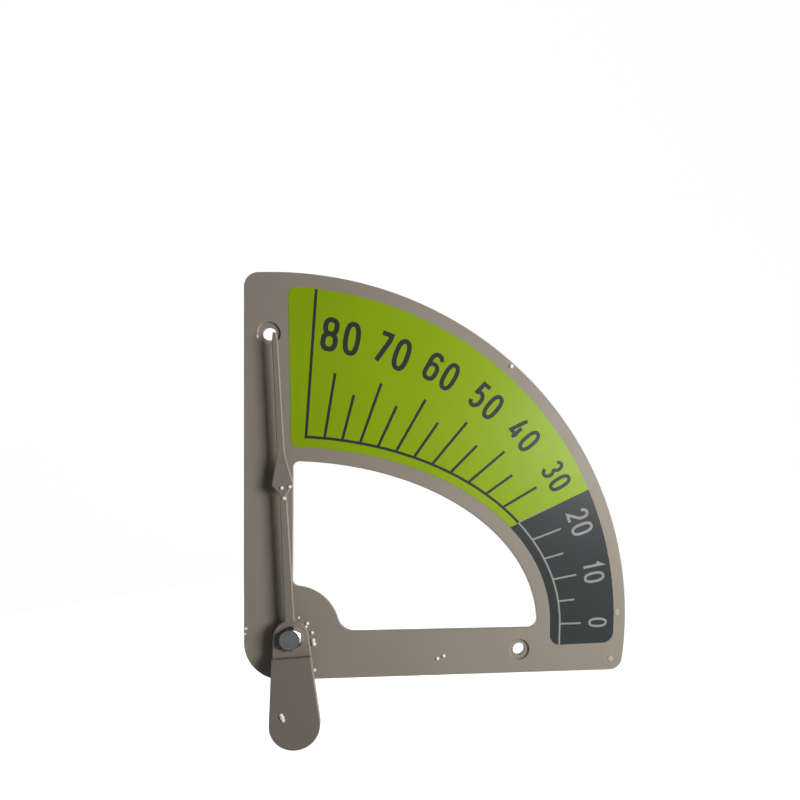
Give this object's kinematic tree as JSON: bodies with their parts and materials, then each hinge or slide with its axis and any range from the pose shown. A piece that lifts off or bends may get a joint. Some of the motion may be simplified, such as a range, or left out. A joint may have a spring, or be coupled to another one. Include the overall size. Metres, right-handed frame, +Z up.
{
  "type": "pendulum inclinometer",
  "caption": "Boom angle indicator: painted steel quadrant with a printed degree scale and a free-swinging counterweighted pointer on a bolt pivot.",
  "frame": {"origin": "on the axis of the upper mounting hole, in the plane of the plate's back face", "axes": "+X to the right along the dial, +Z up, +Y back towards the boom; the dial faces -Y"},
  "size_m": [0.34, 0.0377, 0.3937],
  "materials": {
    "painted_steel": "satin taupe-grey enamel",
    "printed_film": "satin printed vinyl film, yellow-green and dark grey",
    "zinc_plated_steel": "blue-white zinc plating",
    "sintered_bronze": "oiled sintered bronze",
    "white_nylon": "natural nylon"
  },
  "bodies": {
    "quadrant": {"quadrant_plate": "painted_steel", "scale_decal": "printed_film", "upper_mounting_boss": "painted_steel", "lower_mounting_boss": "painted_steel", "upper_boss_weld": "painted_steel", "lower_boss_weld": "painted_steel", "pivot_boss": "painted_steel", "pivot_boss_weld": "painted_steel", "thrust_washer": "white_nylon", "pivot_bush": "sintered_bronze", "pivot_bolt": "zinc_plated_steel", "pivot_flat_washer": "zinc_plated_steel", "pivot_spring_washer": "zinc_plated_steel", "pivot_nut": "zinc_plated_steel"},
    "pointer": {"pointer_blade": "painted_steel", "front_weight": "painted_steel", "rear_weight": "painted_steel", "front_weight_plug_welds": "painted_steel", "rear_weight_welds": "painted_steel"}
  },
  "joints": [
    {"name": "pointer_swing", "type": "hinge", "parent": "quadrant", "child": "pointer", "pos_m": [0.02, -0.01615, -0.25], "axis": [0, 1, 0], "continuous": true}
  ]
}
